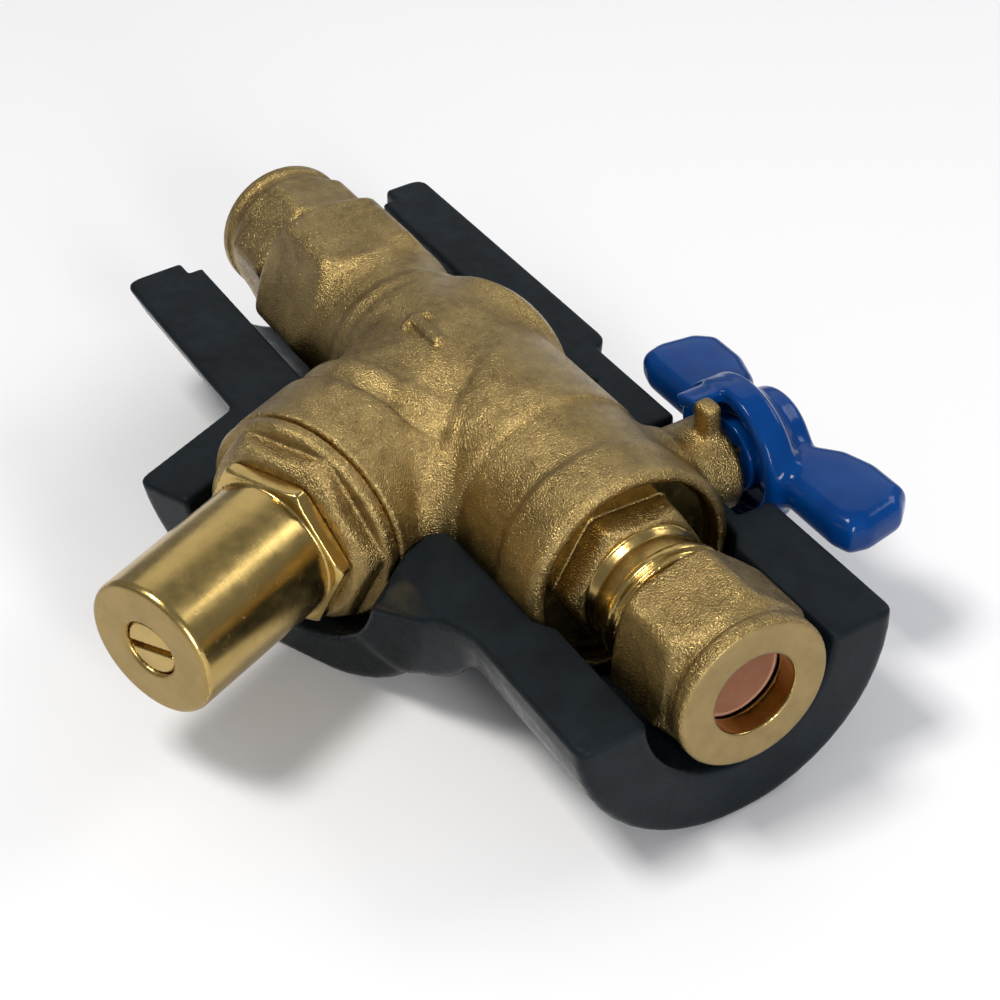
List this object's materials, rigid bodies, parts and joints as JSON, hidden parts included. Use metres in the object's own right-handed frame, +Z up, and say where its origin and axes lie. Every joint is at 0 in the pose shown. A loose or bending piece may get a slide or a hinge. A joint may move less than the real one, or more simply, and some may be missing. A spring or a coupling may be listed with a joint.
{
  "type": "combination cold water valve",
  "caption": "Inline brass ball valve with strainer, check and inclined spring cartridge branch, blue wing handle, compression ends, lying in a black half jacket.",
  "frame": {"origin": "middle of the inlet pipe socket, on the run axis", "axes": "+X along the run axis and out of the inlet, +Z up, so that the branch leans out toward -Y and the ball stem points to +Y; the jacket lies below the run axis"},
  "size_m": [0.1438, 0.1096, 0.0422],
  "materials": {
    "cast_brass": "shot-blasted dezincification-resistant brass casting, satin with fine sparkle",
    "machined_brass": "turned bright brass",
    "copper": "annealed copper, turned",
    "chrome_ball": "chrome-plated, polished",
    "steel": "stainless steel, plain",
    "blue_coating": "thick gloss blue coating on a die-cast handle",
    "seal_rubber": "black nitrile rubber",
    "ptfe": "white PTFE",
    "acetal": "off-white acetal",
    "jacket_black": "moulded closed-cell insulation, satin parting face and glossy outer skin"
  },
  "bodies": {
    "jacket": {"insulation_jacket_lower": "jacket_black"},
    "valve": {"valve_body": "cast_brass", "inlet_connector": "cast_brass", "connector_o_ring": "seal_rubber", "ball_seat_inlet": "ptfe", "ball_seat_outlet": "ptfe", "stem_thrust_washer": "ptfe", "check_housing": "acetal", "check_spring": "steel", "strainer_screen": "steel", "valve_seat_ring": "steel", "bonnet": "cast_brass", "bonnet_o_ring": "seal_rubber", "spring_housing": "machined_brass", "range_spring": "steel"},
    "turning": {"ball": "chrome_ball", "stem": "machined_brass", "stem_o_ring_lower": "seal_rubber", "stem_o_ring_upper": "seal_rubber", "handle": "blue_coating", "handle_nut": "steel"},
    "check": {"check_poppet": "acetal", "check_seal": "seal_rubber"},
    "piston": {"piston": "machined_brass", "piston_o_ring": "seal_rubber", "seat_disc": "seal_rubber", "disc_screw": "steel"},
    "plate": {"spring_plate": "machined_brass"},
    "screw": {"adjusting_screw": "machined_brass"},
    "inlet_ring": {"inlet_olive": "copper"},
    "inlet_nut": {"inlet_nut": "cast_brass"},
    "outlet_ring": {"outlet_olive": "copper"},
    "outlet_nut": {"outlet_nut": "cast_brass"}
  },
  "joints": [
    {"name": "handle_turn", "type": "hinge", "parent": "valve", "child": "turning", "pos_m": [-0.02805, 0, 0], "axis": [0, -1, 0], "range_deg": [0, 90]},
    {"name": "check_lift", "type": "slide", "parent": "valve", "child": "check", "axis": [-1, 0, 0], "range_m": [0, 0.0024], "stiffness_N_per_m": 40, "springref_m": -0.003, "deforming": ["check_spring"]},
    {"name": "piston_lift", "type": "slide", "parent": "valve", "child": "piston", "axis": [0.3987, -0.9171, 0], "range_m": [0, 0.0025], "stiffness_N_per_m": 5000, "springref_m": -0.011, "deforming": ["range_spring"]},
    {"name": "adjust_advance", "type": "slide", "parent": "valve", "child": "plate", "axis": [-0.3987, 0.9171, 0], "range_m": [0, 0.0025], "deforming": ["range_spring"]},
    {"name": "adjust_turn", "type": "hinge", "parent": "plate", "child": "screw", "pos_m": [-0.03963, -0.05961, 0], "axis": [-0.3987, 0.9171, 0], "range_deg": [0, 720]},
    {"name": "inlet_nut_travel", "type": "slide", "parent": "valve", "child": "inlet_ring", "axis": [1, 0, 0], "range_m": [0, 0.01]},
    {"name": "inlet_nut_turn", "type": "hinge", "parent": "inlet_ring", "child": "inlet_nut", "pos_m": [0.00645, 0, 0], "axis": [1, 0, 0], "range_deg": [0, 1985]},
    {"name": "outlet_nut_travel", "type": "slide", "parent": "valve", "child": "outlet_ring", "axis": [-1, 0, 0], "range_m": [0, 0.01]},
    {"name": "outlet_nut_turn", "type": "hinge", "parent": "outlet_ring", "child": "outlet_nut", "pos_m": [-0.11755, 0, 0], "axis": [-1, 0, 0], "range_deg": [0, 1985]},
    {"name": "lift_out", "type": "slide", "parent": "jacket", "child": "valve", "axis": [0, 0, 1], "range_m": [0, 0.06]}
  ],
  "couplings": [
    {"joint": "adjust_turn", "follows": "adjust_advance", "rad_per_m": 5026.5},
    {"joint": "inlet_nut_turn", "follows": "inlet_nut_travel", "rad_per_m": 3463.7},
    {"joint": "outlet_nut_turn", "follows": "outlet_nut_travel", "rad_per_m": 3463.7}
  ]
}
